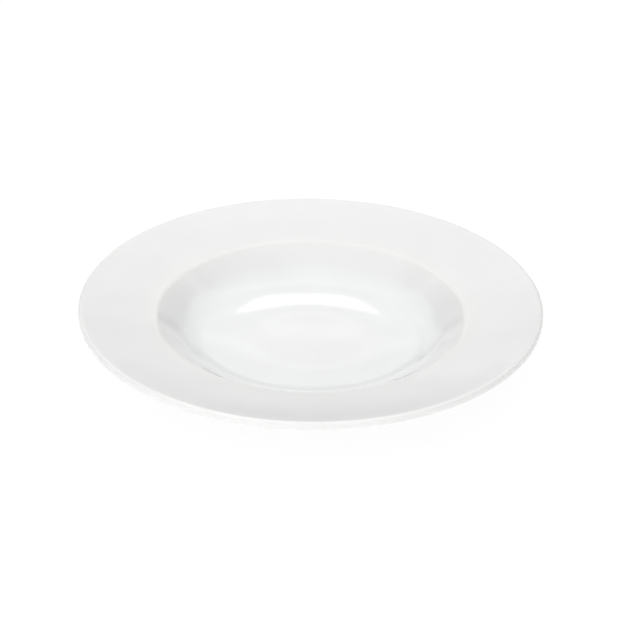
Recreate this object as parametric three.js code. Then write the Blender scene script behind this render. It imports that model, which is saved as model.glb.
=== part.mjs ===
// A deep plate with a wide rim: a fired porcelain body, glazed everywhere but where it stands.
// Millimetres, +Z up. The origin is on the plate's axis, in the plane that the foot stands on.

import * as THREE from "three";

// Driving dimensions of the fired body, read on a section through its axis

const wellDiameter = 160; // across the verge, where the rim turns down into the well
const rimWidth = 39.7; // level, from the verge out to the lip; with the glaze the plate is 240 across
const rimRise = 6.5; // the top of the lip stands this far above the verge
const rimBendWidth = 21; // level, from the verge out to where the rim turns up a little more
const rimBendRise = 2.9; // the rim's rise from the verge to that bend
const wallWidth = 17.2; // level width of the well's wall
const wallDrop = 12.7; // height of the well's wall
const coveWidth = 24; // level width of the floor's slight climb from flat to the wall
const coveDrop = 2.5; // height of that climb
const floorThickness = 4.8; // in the middle, from the well down to the recess under it
const vergeThickness = 5; // straight down through the verge
const vergeSetOut = 1.6; // the underside turns this far outside the verge
const lipThickness = 3.8; // height of the lip's upright edge
const footDiameter = 112; // outside the foot ring, where it stands
const footWidth = 5; // across the standing face
const footFlare = 1.5; // each side of the foot ring spreads this much up to its root
const footHeight = 6; // outside, from the standing face to the foot ring's root
const recessDepth = 5.4; // inside the foot ring, from the standing face to the base

// Roundings of the section's corners

const coveRounding = 280; // flat floor into the climb
const creaseRounding = 33; // floor into wall
const vergeRounding = 6; // wall into rim
const rimBendRounding = 350; // inner rim into the steeper outer rim
const lipRounding = 1.4; // both edges of the lip
const underVergeRounding = 14; // underside of the rim into the underside of the wall
const footRootRounding = 4; // underside of the wall into the foot ring
const standingRounding = 0.9; // both edges of the standing face
const recessRounding = 3; // foot ring into the base

// Glaze

const glazeThickness = 0.3; // the coat follows the body at this thickness
const bareBand = 1; // the glaze is wiped off the foot ring up to this height

// Fineness of the facets

const chordError = 0.1; // an arc is cut into straight steps that miss it by no more than this
const turnSteps = 48; // flats round the plate

const porcelain = new THREE.MeshStandardMaterial({ color: 0xf0ece4, roughness: 0.8, metalness: 0 });
const clearGlaze = new THREE.MeshStandardMaterial({ color: 0xf6f6f4, roughness: 0.08, metalness: 0 });

// Corners of the body's section, each with its rounding, from the middle of the well outwards,
// over the lip, back along the underside and under the foot ring to the middle of the base.

const wellRadius = wellDiameter / 2;
const lipRadius = wellRadius + rimWidth;
const footRadius = footDiameter / 2;
const footInside = footRadius - footWidth;
const wallFootRadius = wellRadius - wallWidth;
const flatFloorRadius = wallFootRadius - coveWidth;

const floorTop = recessDepth + floorThickness;
const wallFootHeight = floorTop + coveDrop;
const vergeHeight = wallFootHeight + wallDrop;
const lipTop = vergeHeight + rimRise;

const corner = (radius, height, rounding = 0) => ({ at: new THREE.Vector2(radius, height), rounding });

const wellMiddle = corner(0, floorTop);
const floorEdge = corner(flatFloorRadius, floorTop, coveRounding);
const wallFoot = corner(wallFootRadius, wallFootHeight, creaseRounding);
const verge = corner(wellRadius, vergeHeight, vergeRounding);
const rimBend = corner(wellRadius + rimBendWidth, vergeHeight + rimBendRise, rimBendRounding);
const lipUpper = corner(lipRadius, lipTop, lipRounding);
const lipLower = corner(lipRadius, lipTop - lipThickness, lipRounding);
const underVerge = corner(wellRadius + vergeSetOut, vergeHeight - vergeThickness, underVergeRounding);
const footRoot = corner(footRadius + footFlare, footHeight, footRootRounding);
const standingOuter = corner(footRadius, 0, standingRounding);
const standingInner = corner(footInside, 0, standingRounding);
const recessEdge = corner(footInside - footFlare, recessDepth, recessRounding);
const recessMiddle = corner(0, recessDepth);

// The glaze ends on both sides of the foot ring, at the top of the bare band.
const onSlope = (low, high) => {
  const share = (bareBand - low.at.y) / (high.at.y - low.at.y);
  const place = low.at.clone().lerp(high.at, share);
  return corner(place.x, place.y);
};
const glazeEndOutside = onSlope(standingOuter, footRoot);
const glazeEndInside = onSlope(standingInner, recessEdge);

// Rounds an open run of corners. Gives points, each with the direction that faces away from the body,
// which is to the left of the run. Roundings that don't fit on an edge side by side shrink to share it.
function roundedRun(corners) {
  const last = corners.length - 1;
  const edges = corners.slice(1).map((next, i) => next.at.clone().sub(corners[i].at));
  const lengths = edges.map((edge) => edge.length());
  const facing = edges.map((edge) => new THREE.Vector2(-edge.y, edge.x).normalize());
  const turns = corners.map((_, i) => {
    if (i === 0 || i === last) return 0;
    return Math.atan2(edges[i - 1].cross(edges[i]), edges[i - 1].dot(edges[i]));
  });
  const wanted = corners.map((each, i) => each.rounding * Math.tan(Math.abs(turns[i]) / 2));
  const room = lengths.map((length, i) => Math.min(1, length / (wanted[i] + wanted[i + 1])));

  return corners.flatMap((each, i) => {
    const turn = turns[i];
    if (i === 0 || turn === 0) return [{ place: each.at, facing: facing[Math.min(i, last - 1)] }];
    const rounding = each.rounding * Math.min(room[i - 1], room[i]);
    const setBack = rounding * Math.tan(Math.abs(turn) / 2);
    const start = each.at.clone().addScaledVector(edges[i - 1], -setBack / lengths[i - 1]);
    const side = Math.sign(turn);
    const middle = start.addScaledVector(facing[i - 1], side * rounding);
    const steps = Math.ceil(Math.abs(turn) / (2 * Math.acos(1 - chordError / rounding)));
    return Array.from({ length: steps + 1 }, (_, step) => {
      const towards = facing[i - 1].clone().rotateAround(new THREE.Vector2(), (turn * step) / steps);
      return { place: middle.clone().addScaledVector(towards, -side * rounding), facing: towards };
    });
  });
}

const bare = (run) => run.map((point) => point.place);
const glazed = (run) => run.map((point) => point.place.clone().addScaledVector(point.facing, glazeThickness));

// A section that starts and ends on the axis, turned once round it and stood up along Z.
// It runs clockwise, and a lathe's faces point outwards when the section runs the other way.
function turnedPiece(name, section, material) {
  const geometry = new THREE.LatheGeometry(section.toReversed(), turnSteps);
  geometry.rotateX(Math.PI / 2);
  const piece = new THREE.Mesh(geometry, material);
  piece.name = name;
  return piece;
}

// The well, rim, lip and outside of the foot; the bare standing ring; the recess inside the foot.
const upperRun = roundedRun([
  wellMiddle, floorEdge, wallFoot, verge, rimBend, lipUpper, lipLower, underVerge, footRoot, glazeEndOutside,
]);
const standingRun = roundedRun([glazeEndOutside, standingOuter, standingInner, glazeEndInside]);
const recessRun = roundedRun([glazeEndInside, recessEdge, recessMiddle]);

// The whole body in one piece of porcelain.
const bodySection = [...bare(upperRun), ...bare(standingRun).slice(1, -1), ...bare(recessRun)];

// The coat over everything that shows, down to the bare band outside the foot ring.
const coatSection = [...glazed(upperRun), ...bare(upperRun).reverse()];

// The coat on the base, inside the foot ring, which the bare standing face parts from the rest.
const baseSection = [...bare(recessRun).reverse(), ...glazed(recessRun)];

const deepPlate = new THREE.Group();
deepPlate.add(turnedPiece("porcelain_body", bodySection, porcelain));
deepPlate.add(turnedPiece("glaze_coat", coatSection, clearGlaze));
deepPlate.add(turnedPiece("base_glaze", baseSection, clearGlaze));

export default deepPlate;
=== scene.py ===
# %% [markdown]
# # A deep plate in white porcelain
#
# The plate is a solid of revolution: one porcelain body, and over it a glassy glaze that stops just above
# the ring it stands on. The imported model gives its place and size. This lesson turns the same section on a
# finer lathe, gives the glaze and the bare porcelain their finishes, and lights them like a studio.

# %% Load the frame
import math

import bmesh
import bpy
from mathutils import Matrix, Vector


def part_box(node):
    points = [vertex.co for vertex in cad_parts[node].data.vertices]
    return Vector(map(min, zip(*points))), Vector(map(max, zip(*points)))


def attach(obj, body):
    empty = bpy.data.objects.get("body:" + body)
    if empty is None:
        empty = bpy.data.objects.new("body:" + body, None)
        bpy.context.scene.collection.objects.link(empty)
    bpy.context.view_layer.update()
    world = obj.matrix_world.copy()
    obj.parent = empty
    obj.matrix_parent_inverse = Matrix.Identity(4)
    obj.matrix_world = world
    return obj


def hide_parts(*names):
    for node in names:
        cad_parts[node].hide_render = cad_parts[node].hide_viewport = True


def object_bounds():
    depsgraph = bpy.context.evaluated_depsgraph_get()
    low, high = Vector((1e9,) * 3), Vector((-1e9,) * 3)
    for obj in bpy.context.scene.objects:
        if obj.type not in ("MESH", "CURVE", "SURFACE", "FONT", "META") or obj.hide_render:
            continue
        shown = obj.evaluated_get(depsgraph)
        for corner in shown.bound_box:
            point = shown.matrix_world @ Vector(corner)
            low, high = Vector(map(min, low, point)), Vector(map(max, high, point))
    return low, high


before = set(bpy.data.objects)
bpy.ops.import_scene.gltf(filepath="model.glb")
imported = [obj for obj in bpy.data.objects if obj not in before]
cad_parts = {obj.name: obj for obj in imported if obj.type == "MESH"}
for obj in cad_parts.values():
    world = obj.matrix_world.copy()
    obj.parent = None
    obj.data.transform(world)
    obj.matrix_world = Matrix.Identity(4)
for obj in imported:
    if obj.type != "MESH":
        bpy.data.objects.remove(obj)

cad_low, cad_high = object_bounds()
print("nodes", sorted(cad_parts))

# %% [markdown]
# ## The camera
#
# A long lens, about 1.4 metres away, looks down on the plate. The angle, the small roll and the aim come
# from the outline of the lip and of the verge, which both show as ellipses. A long lens keeps the near and
# the far rim almost the same size. The camera comes first, because every later choice is looked at through
# it.

# %% Camera
mm = 0.001
view_elevation = math.radians(29.31)
view_roll = math.radians(0.78)
view_distance = 1400 * mm
aim_right = 4.71 * mm
aim_up = -9.17 * mm
lens_mm = 152.4
sensor_mm = 36

lip_height = cad_high[2]
looking = Vector((0, math.cos(view_elevation), -math.sin(view_elevation)))
level_right = Vector((1, 0, 0))
level_up = level_right.cross(looking)
turn_about_view = Matrix.Rotation(-view_roll, 3, looking)
picture_right = turn_about_view @ level_right
picture_up = turn_about_view @ level_up

camera_data = bpy.data.cameras.new("camera")
camera_data.sensor_width = sensor_mm
camera_data.lens = lens_mm
camera = bpy.data.objects.new("camera", camera_data)
bpy.context.scene.collection.objects.link(camera)
pose = Matrix((picture_right, picture_up, -looking)).transposed().to_4x4()
eye = Vector((0, 0, lip_height)) - looking * view_distance
pose.translation = eye + picture_right * aim_right + picture_up * aim_up
camera.matrix_world = pose
bpy.context.scene.camera = camera
print("camera at", [round(value, 4) for value in pose.translation])

# %% [markdown]
# ## The section
#
# Everything on the plate comes from one section through its axis. Only its corners are named, most of them
# with a rounding. An artist could trace the section as a curve, but with corners and roundings every size
# stays readable, and the arcs are true arcs, so highlights run over them evenly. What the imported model
# tells is read from it: the glaze's thickness, the bare band, the lip's radius and the depth of the recess.

# %% Sizes of the section
_, body_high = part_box("porcelain_body")
coat_low, coat_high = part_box("glaze_coat")
_, base_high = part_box("base_glaze")

glaze_thickness = coat_high.x - body_high.x
bare_band = coat_low.z
lip_radius = body_high.x
recess_depth = base_high.z

well_radius = 80 * mm
rim_rise = 6.5 * mm
rim_bend_width = 21 * mm
rim_bend_rise = 2.9 * mm
wall_width = 17.2 * mm
wall_drop = 12.7 * mm
cove_width = 24 * mm
cove_drop = 2.5 * mm
floor_thickness = 4.8 * mm
verge_thickness = 5 * mm
verge_set_out = 1.6 * mm
lip_thickness = 3.8 * mm
foot_radius = 56 * mm
foot_width = 5 * mm
foot_flare = 1.5 * mm
foot_height = 6 * mm
print("glaze", round(glaze_thickness / mm, 3), "mm, bare band", round(bare_band / mm, 3), "mm")

# %% Roundings of its corners
cove_rounding = 280 * mm
crease_rounding = 33 * mm
verge_rounding = 6 * mm
rim_bend_rounding = 350 * mm
lip_rounding = 1.4 * mm
under_verge_rounding = 14 * mm
foot_root_rounding = 4 * mm
standing_rounding = 0.9 * mm
recess_rounding = 3 * mm
print("sharpest rounding", standing_rounding / mm, "mm, softest", rim_bend_rounding / mm, "mm")

# %% Corners of the section
floor_top = recess_depth + floor_thickness
wall_foot_radius = well_radius - wall_width
wall_foot_height = floor_top + cove_drop
verge_height = wall_foot_height + wall_drop
lip_top = verge_height + rim_rise
foot_inside = foot_radius - foot_width


def corner(radius, height, rounding=0.0):
    return Vector((radius, 0, height)), rounding


def on_foot_side(standing, root):
    """The place on a side of the foot ring where the bare band ends."""
    share = bare_band / root[0].z
    return standing[0].lerp(root[0], share), 0.0


well_middle = corner(0, floor_top)
floor_edge = corner(wall_foot_radius - cove_width, floor_top, cove_rounding)
wall_foot = corner(wall_foot_radius, wall_foot_height, crease_rounding)
verge = corner(well_radius, verge_height, verge_rounding)
rim_bend = corner(well_radius + rim_bend_width, verge_height + rim_bend_rise, rim_bend_rounding)
lip_upper = corner(lip_radius, lip_top, lip_rounding)
lip_lower = corner(lip_radius, lip_top - lip_thickness, lip_rounding)
under_verge = corner(well_radius + verge_set_out, verge_height - verge_thickness, under_verge_rounding)
foot_root = corner(foot_radius + foot_flare, foot_height, foot_root_rounding)
standing_outer = corner(foot_radius, 0, standing_rounding)
standing_inner = corner(foot_inside, 0, standing_rounding)
recess_edge = corner(foot_inside - foot_flare, recess_depth, recess_rounding)
recess_middle = corner(0, recess_depth)
glaze_end_outside = on_foot_side(standing_outer, foot_root)
glaze_end_inside = on_foot_side(standing_inner, recess_edge)

glazed_run = [well_middle, floor_edge, wall_foot, verge, rim_bend, lip_upper, lip_lower,
              under_verge, foot_root, glaze_end_outside]
standing_run = [glaze_end_outside, standing_outer, standing_inner, glaze_end_inside]
recess_run = [glaze_end_inside, recess_edge, recess_middle]
print("lip top at", round(lip_top / mm, 2), "mm")

# %% [markdown]
# ## A lathe
#
# A potter's profile tool and a lathe do the same thing: one outline, turned about an axis. Here a pen draws
# the outline as a wire. It runs straight between the corners, and at a corner it spins about the middle of
# the rounding. The arcs are cut so finely that no step shows in a highlight.

# %% Pen
arc_error = 0.003 * mm
arc_turn = math.radians(3)
straight_step = 2.5 * mm


def draw_to(bm, pen, place):
    """A straight line in short steps, so that smooth shading stays true right up to the next arc."""
    start = pen.co.copy()
    steps = math.ceil((place - start).length / straight_step)
    for step in range(1, steps + 1):
        pen = bmesh.ops.extrude_vert_indiv(bm, verts=[pen])["verts"][0]
        pen.co = start.lerp(place, step / steps)
    return pen


def draw_run(bm, run):
    """A wire along the run in the XZ plane, with an arc at each rounded corner."""
    pen = bm.verts.new(run[0][0])
    for (before, _), (here, rounding), (after, _) in zip(run, run[1:], run[2:]):
        incoming = (here - before).normalized()
        outgoing = (after - here).normalized()
        turn = incoming.angle(outgoing)
        if rounding == 0 or turn == 0:
            pen = draw_to(bm, pen, here)
            continue
        start = here - incoming * rounding * math.tan(turn / 2)
        towards_middle = (outgoing - incoming * incoming.dot(outgoing)).normalized()
        axis = incoming.cross(outgoing)
        steps = math.ceil(turn / min(arc_turn, 2 * math.acos(1 - arc_error / rounding)))
        pen = draw_to(bm, pen, start)
        arc = bmesh.ops.spin(bm, geom=[pen], cent=start + towards_middle * rounding,
                             axis=axis, angle=turn, steps=steps)
        pen = next(item for item in arc["geom_last"] if isinstance(item, bmesh.types.BMVert))
    draw_to(bm, pen, run[-1][0])


wire = bmesh.new()
draw_run(wire, glazed_run)
print("the pen draws", len(wire.verts), "points along the glazed run")
wire.free()

# %% [markdown]
# Then the whole wire spins once round the plate's axis. A screw modifier could do this too, but the mesh is
# needed at once, because the glaze is thickened from it. Where the wire starts or ends on the axis, the spin
# leaves many points in one place, so they are merged.

# %% Turning
flats_round_plate = 192
same_place = 0.0005 * mm


def turned(run):
    """A bmesh of the run turned once round the plate's axis."""
    bm = bmesh.new()
    draw_run(bm, run)
    bmesh.ops.spin(bm, geom=bm.verts[:] + bm.edges[:], cent=(0, 0, 0), axis=(0, 0, 1),
                   angle=2 * math.pi, steps=flats_round_plate, use_merge=True)
    bmesh.ops.remove_doubles(bm, verts=bm.verts, dist=same_place)
    bmesh.ops.recalc_face_normals(bm, faces=bm.faces)
    return bm


flat_length = 2 * math.pi * lip_radius / flats_round_plate
print(flats_round_plate, "flats, each", round(flat_length / mm, 1), "mm long at the lip")

# %% [markdown]
# ## The porcelain body
#
# Floor, wall, rim, lip and foot ring are one lump of fired porcelain. The glaze hides all of it but the ring
# that it stands on. The three runs join into one outline that starts and ends on the axis, so one turn
# closes it. Every piece is shaded smooth, apart from edges that really are sharp, and rides on the root.

# %% Body
sharp_angle = math.radians(40)


def finished_piece(name, bm, node):
    mesh = bpy.data.meshes.new(name)
    bm.to_mesh(mesh)
    bm.free()
    mesh.shade_smooth()
    mesh.set_sharp_from_angle(angle=sharp_angle)
    piece = bpy.data.objects.new(name, mesh)
    bpy.context.scene.collection.objects.link(piece)
    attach(piece, "root")
    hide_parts(node)
    print(name, len(mesh.polygons), "faces")
    return piece


body_run = glazed_run[:-1] + standing_run + recess_run[1:]
body = finished_piece("fired_body", turned(body_run), "porcelain_body")

# %% [markdown]
# ## The glaze
#
# The glaze is a glassy skin of even thickness. It could be faked by the body's own finish, but as a shell it
# ends in a real step above the standing ring, as a wiped foot does. The run is turned as an open sheet and
# solidified outwards, so its inner side lies on the porcelain. Melted glaze draws back into a round bead
# where it was wiped, so the outer edge of each end is bevelled.

# %% Glaze coats
bead = 0.12 * mm
bead_steps = 3
round_profile = 0.5
end_angle = math.radians(60)
foot_ring_middle = foot_radius - foot_width / 2


def coat(run, out):
    """The run turned and thickened away from the body; out is 1 if its middle faces up, -1 if down."""
    bm = turned(run)
    pole = min(bm.verts, key=lambda vert: vert.co.xy.length)
    if pole.normal.z * out < 0:
        bmesh.ops.reverse_faces(bm, faces=bm.faces)
    bmesh.ops.solidify(bm, geom=bm.faces[:], thickness=-glaze_thickness)
    bmesh.ops.recalc_face_normals(bm, faces=bm.faces)
    ends = [edge for edge in bm.edges if edge.calc_face_angle(0) > end_angle]
    clear = {edge: abs(edge.verts[0].co.xy.length - foot_ring_middle) for edge in ends}
    halfway = (min(clear.values()) + max(clear.values())) / 2
    bmesh.ops.bevel(bm, geom=[edge for edge in ends if clear[edge] > halfway], offset=bead, affect="EDGES",
                    segments=bead_steps, profile=round_profile, material=-1)
    return bm


upper_glaze = finished_piece("upper_glaze", coat(glazed_run, 1), "glaze_coat")
lower_glaze = finished_piece("lower_glaze", coat(recess_run, -1), "base_glaze")
for glaze in (upper_glaze, lower_glaze):
    print(glaze.name, [round(value / mm, 2) for value in glaze.dimensions], "mm")

# %% [markdown]
# ## Finishes
#
# Two materials show: the glaze, which is a colourless glass over white clay, and the bare clay of the
# standing ring. Both are drawn by nodes from the piece's own coordinates, in metres, so a pattern keeps its
# real size wherever it lies. One small function adds a node, sets its values and links its inputs. Another
# turns a hex colour, as a paint program shows it, into the linear values that nodes take.


# %% Node helpers
def linear(hex_colour):
    channels = [int(hex_colour[i:i + 2], 16) / 255 for i in (1, 3, 5)]
    return [c / 12.92 if c <= 0.04045 else ((c + 0.055) / 1.055) ** 2.4 for c in channels] + [1.0]


def add_node(tree, kind, settings=None, links=None):
    node = tree.nodes.new(kind)
    for name, value in (settings or {}).items():
        if isinstance(name, int) or name in node.inputs:
            node.inputs[name].default_value = value
        else:
            setattr(node, name, value)
    for name, source in (links or {}).items():
        tree.links.new(source, node.inputs[name])
    return node


def new_material(name):
    material = bpy.data.materials.new(name)
    material.use_nodes = True
    material.node_tree.nodes.clear()
    return material, material.node_tree


def set_ramp(node, stops):
    elements = node.color_ramp.elements
    elements[0].position, elements[0].color = stops[0]
    elements[1].position, elements[1].color = stops[-1]
    for position, colour in stops[1:-1]:
        elements.new(position).color = colour


print("middle grey #808080 is", round(linear("#808080")[0], 3), "in linear light")

# %% [markdown]
# ### Clear glaze over white porcelain
#
# The eye gets a hard, wet shine with nearly no colour. Glaze runs while it melts: it is a little thicker and
# cooler where the wall meets the floor, and thinner and warmer on the verge and on the lip. A ring pattern
# from the distance to the axis tints it so. Slow clouds of a few centimetres and ripples of three
# millimetres, far too shallow to see as shape, keep the reflections from looking machined.

# %% Glaze colour
white = linear("#f3f3f3")
pooled = linear("#f2f3f3")
thin = linear("#f4f4f3")
cloud_colour = linear("#f8f8f8")
cloud_width = 25 * mm
plain_rim_start, plain_rim_end = 0.8, 0.94

glaze_material, tree = new_material("clear glaze over white porcelain")
place = add_node(tree, "ShaderNodeTexCoord").outputs["Object"]
level = add_node(tree, "ShaderNodeVectorMath", {"operation": "MULTIPLY", 1: (1, 1, 0)}, {0: place})
from_axis = add_node(tree, "ShaderNodeVectorMath", {"operation": "LENGTH"}, {0: level.outputs[0]})
share_of_radius = add_node(tree, "ShaderNodeMath", {"operation": "DIVIDE", 1: coat_high.x},
                           {0: from_axis.outputs["Value"]})
rings = add_node(tree, "ShaderNodeValToRGB", None, {"Fac": share_of_radius.outputs[0]})
set_ramp(rings, [(0.0, white), (wall_foot_radius / lip_radius, pooled), (well_radius / lip_radius, thin),
                 (plain_rim_start, white), (plain_rim_end, white), (1.0, thin)])
clouds = add_node(tree, "ShaderNodeTexNoise", {"Scale": 1 / cloud_width, "Detail": 3.0}, {"Vector": place})
cloudy = add_node(tree, "ShaderNodeMix", {"data_type": "RGBA", "blend_type": "MULTIPLY", 7: cloud_colour},
                  {0: clouds.outputs["Fac"], 6: rings.outputs["Color"]})
print(glaze_material.name, len(tree.nodes), "nodes for the colour")

# %% Glaze shine
ripple_width = 3 * mm
ripple_height = 0.006 * mm
glossiest, dullest = 0.045, 0.075
glass_index = 1.5

shine = add_node(tree, "ShaderNodeMapRange", {"To Min": glossiest, "To Max": dullest},
                 {"Value": clouds.outputs["Fac"]})
ripples = add_node(tree, "ShaderNodeTexNoise", {"Scale": 1 / ripple_width, "Detail": 1.0}, {"Vector": place})
rippled = add_node(tree, "ShaderNodeBump", {"Distance": ripple_height}, {"Height": ripples.outputs["Fac"]})
shader = add_node(tree, "ShaderNodeBsdfPrincipled", {"IOR": glass_index},
                  {"Base Color": cloudy.outputs[2], "Roughness": shine.outputs[0],
                   "Normal": rippled.outputs[0]})
add_node(tree, "ShaderNodeOutputMaterial", None, {"Surface": shader.outputs["BSDF"]})
for glaze in (upper_glaze, lower_glaze):
    glaze.data.materials.append(glaze_material)
print(glaze_material.name, len(tree.nodes), "nodes in all")

# %% [markdown]
# ### Bare fired porcelain
#
# On the standing ring the clay shows. It is matt, a little warmer than under the glaze, and feels like fine
# sandpaper: grains of about 0.4 mm raise it slightly, and a few darker specks sit in it.

# %% Bare porcelain finish
clay = linear("#e9e4da")
speck = linear("#cfc6b6")
grain_width = 0.4 * mm
speck_spacing = 1.1 * mm
grain_height = 0.03 * mm
speck_start, speck_full = 0.62, 0.72
matt = 0.85

bare_material, tree = new_material("bare fired porcelain")
place = add_node(tree, "ShaderNodeTexCoord").outputs["Object"]
grains = add_node(tree, "ShaderNodeTexNoise", {"Scale": 1 / grain_width, "Detail": 2.0}, {"Vector": place})
specks = add_node(tree, "ShaderNodeTexNoise", {"Scale": 1 / speck_spacing, "Detail": 1.0}, {"Vector": place})
specked = add_node(tree, "ShaderNodeValToRGB", None, {"Fac": specks.outputs["Fac"]})
set_ramp(specked, [(0.0, clay), (speck_start, clay), (speck_full, speck), (1.0, speck)])
gritty = add_node(tree, "ShaderNodeBump", {"Distance": grain_height}, {"Height": grains.outputs["Fac"]})
shader = add_node(tree, "ShaderNodeBsdfPrincipled", {"Roughness": matt},
                  {"Base Color": specked.outputs["Color"], "Normal": gritty.outputs[0]})
add_node(tree, "ShaderNodeOutputMaterial", None, {"Surface": shader.outputs["BSDF"]})
body.data.materials.append(bare_material)
print(bare_material.name, len(tree.nodes), "nodes")

# %% [markdown]
# ## The studio
#
# White paper lies under the plate, and the picture shows it as plain white. It lies a hair below the ring
# that the plate stands on, so that no two faces share a plane. From here on, sizes are in metres.

# %% Floor sheet
floor_size = 12.0
floor_gap = 0.1 * mm

floor_mesh = bpy.data.meshes.new("floor")
bm = bmesh.new()
bmesh.ops.create_grid(bm, x_segments=1, y_segments=1, size=floor_size / 2,
                      matrix=Matrix.Translation((0, 0, -floor_gap)))
bm.to_mesh(floor_mesh)
bm.free()
floor = bpy.data.objects.new("floor", floor_mesh)
bpy.context.scene.collection.objects.link(floor)
print("floor", floor_size, "m across")

# %% [markdown]
# Paper lit only by the lamps would come out grey where the plate shades it, so for the lens and in
# reflections most of its white is its own glow. The rest is lit paper, which keeps a faint shadow. A light
# table under the paper glows a little, which softens the shade under the rim.

# %% Paper finish
paper_white = linear("#f4f4f4")
lamp_white = linear("#ffffff")
own_glow_share = 0.88
table_glow = 0.27

floor_material, tree = new_material("white paper floor")
paper = add_node(tree, "ShaderNodeBsdfDiffuse", {"Color": paper_white})
lit_from_below = add_node(tree, "ShaderNodeEmission", {"Color": lamp_white, "Strength": table_glow})
table = add_node(tree, "ShaderNodeAddShader", None, {0: paper.outputs[0], 1: lit_from_below.outputs[0]})
glow = add_node(tree, "ShaderNodeEmission", {"Color": lamp_white, "Strength": 1.0})
rays = add_node(tree, "ShaderNodeLightPath").outputs
by_lens = add_node(tree, "ShaderNodeMath", {"operation": "MAXIMUM"},
                   {0: rays["Is Camera Ray"], 1: rays["Is Glossy Ray"]})
seen = add_node(tree, "ShaderNodeMath", {"operation": "MAXIMUM"},
                {0: by_lens.outputs[0], 1: rays["Is Transmission Ray"]})
share = add_node(tree, "ShaderNodeMath", {"operation": "MULTIPLY", 1: own_glow_share}, {0: seen.outputs[0]})
mix = add_node(tree, "ShaderNodeMixShader", None,
               {0: share.outputs[0], 1: table.outputs[0], 2: glow.outputs[0]})
add_node(tree, "ShaderNodeOutputMaterial", None, {"Surface": mix.outputs[0]})
floor_mesh.materials.append(floor_material)
print(floor_material.name, len(tree.nodes), "nodes")

# %% [markdown]
# The room is bright overhead and dark lower down, with a light strip along the horizon and a fainter band
# above it. The near rim mirrors the dark part behind the plate, so it comes out greyer than the far rim,
# which mirrors a brighter part higher up. A world of one colour would be simpler, but glaze shows its
# surroundings, and an even room would leave the rim flat. Each stop is an angle above the horizon, in
# degrees, and how bright the room is there.

# %% World
room_stops = [(0, 0.8), (4, 0.45), (9, 0.0), (15, 0.4), (26, 0.01), (33, 0.32), (42, 0.33), (60, 1.4),
              (90, 1.73)]

world = bpy.data.worlds.new("studio")
bpy.context.scene.world = world
world.use_nodes = True
tree = world.node_tree
brightest = max(value for _, value in room_stops)
towards = add_node(tree, "ShaderNodeSeparateXYZ", None,
                   {0: add_node(tree, "ShaderNodeTexCoord").outputs["Generated"]})
height = add_node(tree, "ShaderNodeValToRGB", None, {"Fac": towards.outputs["Z"]})
set_ramp(height, [(math.sin(math.radians(angle)), [value / brightest] * 3 + [1.0])
                  for angle, value in room_stops])
background = tree.nodes["Background"]
tree.links.new(height.outputs["Color"], background.inputs["Color"])
background.inputs["Strength"].default_value = brightest
print("room, brightest", brightest)

# %% [markdown]
# A softbox in front on the left models the well: the left wall, which turns away from it, is the darkest. A
# low one in front lights the upright edge of the lip. Behind the plate stand panels, each where one part of
# the glaze looks: two for the floor of the well, a low one for the floor's near edge, a narrow one for the
# right rim, and on each side a tall strip for the crease of the wall opposite. A lamp's power follows from
# its size and from how bright its face should look.


# %% Softboxes
def area_lamp(name, width, height, radiance):
    lamp = bpy.data.lights.new(name, "AREA")
    lamp.shape = "RECTANGLE"
    lamp.size = width
    lamp.size_y = height
    lamp.energy = radiance * math.pi * width * height
    return bpy.data.objects.new(name, lamp)


def aim(lamp, elevation, azimuth, distance):
    """Puts a lamp where it faces the plate. Azimuth 0 is behind the plate, 180 is at the camera."""
    up, round_plate = math.radians(elevation), math.radians(azimuth)
    level = Vector((math.sin(round_plate), math.cos(round_plate), 0))
    direction = level * math.cos(up) + Vector((0, 0, math.sin(up)))
    lamp.location = direction * distance
    lamp.rotation_euler = direction.to_track_quat("Z", "Y").to_euler()
    bpy.context.scene.collection.objects.link(lamp)
    print(lamp.name, [round(value, 2) for value in lamp.location])


aim(area_lamp("left_front_softbox", width=0.6, height=0.6, radiance=1.64),
    elevation=40, azimuth=-135, distance=1.2)
aim(area_lamp("low_front_softbox", width=0.9, height=0.3, radiance=0.9),
    elevation=14, azimuth=180, distance=0.8)
aim(area_lamp("floor_panel", width=0.07, height=0.078, radiance=0.48),
    elevation=26.66, azimuth=0, distance=0.5595)
aim(area_lamp("high_floor_panel", width=0.07, height=0.075, radiance=0.28),
    elevation=33, azimuth=0, distance=0.596)
aim(area_lamp("near_edge_panel", width=0.08, height=0.105, radiance=0.6),
    elevation=8.3, azimuth=0, distance=0.505)
aim(area_lamp("right_rim_panel", width=0.024, height=0.18, radiance=0.2),
    elevation=30, azimuth=5.7, distance=0.58)
aim(area_lamp("left_strip", width=0.25, height=0.72, radiance=0.35),
    elevation=20, azimuth=-16, distance=1.2)
aim(area_lamp("right_strip", width=0.22, height=0.68, radiance=0.22),
    elevation=18, azimuth=15, distance=1.2)

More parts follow.
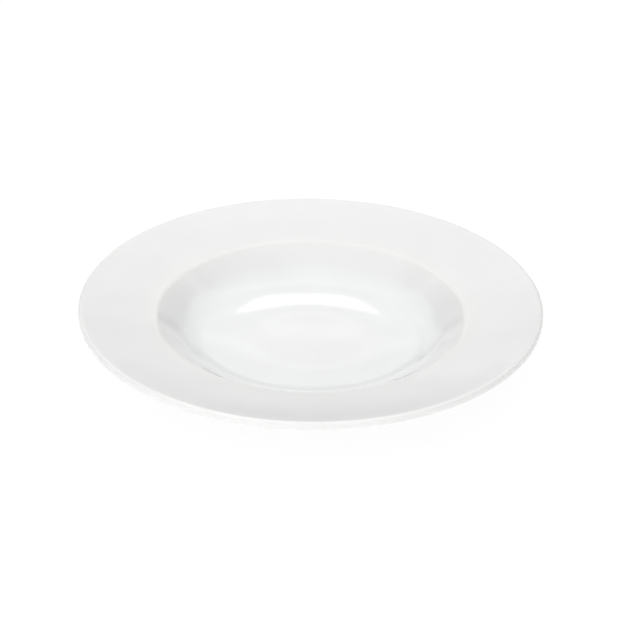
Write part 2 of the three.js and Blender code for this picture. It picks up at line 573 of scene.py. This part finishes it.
# %% [markdown]
# Over the table hangs a bank of long panels, one in front of the plate and three behind it. The glaze
# mirrors the bank's ends as the slanting border of the dark patch on each side wall. Each panel has where it
# starts and ends, measured backwards from the plate's axis, and how bright it is.

# %% Overhead bank
bank_height = 0.93
bank_width = 1.8
bank_panels = {"front_bank": (-1.2, -0.6, 0.6), "back_bank": (0.6, 1.2, 0.65),
               "far_bank": (1.2, 1.8, 0.41), "farthest_bank": (1.8, 2.6, 0.3)}

for name, (start, end, radiance) in bank_panels.items():
    panel = area_lamp(name, width=bank_width, height=end - start, radiance=radiance)
    panel.location = (0, (start + end) / 2, bank_height)
    bpy.context.scene.collection.objects.link(panel)
    print(panel.name, [round(value, 2) for value in panel.location])

# %% [markdown]
# The white mark in the well is the mirror image of one bright lamp behind the plate. The hollow floor turns
# the image over and bends it. The lamp is wider at its foot than at its top, so the mark has slanting ends.
# It stands four metres away, where the rims do not mirror it. An area lamp is a rectangle or an ellipse, so
# this one is a small glowing sheet: a square of one unit, drawn in to its real widths and height.

# %% Bright lamp behind
lamp_foot = 0.256
lamp_head = 0.198
lamp_height = 0.26
lamp_glow = 3.0
lamp_elevation = 35.66
lamp_distance = 4.04
half_unit = 0.5

lamp_mesh = bpy.data.meshes.new("back_lamp")
bm = bmesh.new()
sheet = bmesh.ops.create_grid(bm, x_segments=1, y_segments=1, size=half_unit)
for vert in sheet["verts"]:
    vert.co.x *= lamp_head if vert.co.y > 0 else lamp_foot
    vert.co.y *= lamp_height
bm.to_mesh(lamp_mesh)
bm.free()
back_lamp = bpy.data.objects.new("back_lamp", lamp_mesh)
aim(back_lamp, elevation=lamp_elevation, azimuth=0, distance=lamp_distance)
back_lamp.visible_camera = False
lamp_material, tree = new_material("lamp glow")
glow = add_node(tree, "ShaderNodeEmission", {"Color": lamp_white, "Strength": lamp_glow})
add_node(tree, "ShaderNodeOutputMaterial", None, {"Surface": glow.outputs[0]})
lamp_mesh.materials.append(lamp_material)

# %% [markdown]
# ## The view of colour
#
# The picture shows colour through the plain Standard view transform. The visual model has to fill the same
# box as the imported one.

# %% Colour view
bpy.context.scene.view_settings.view_transform = "Standard"
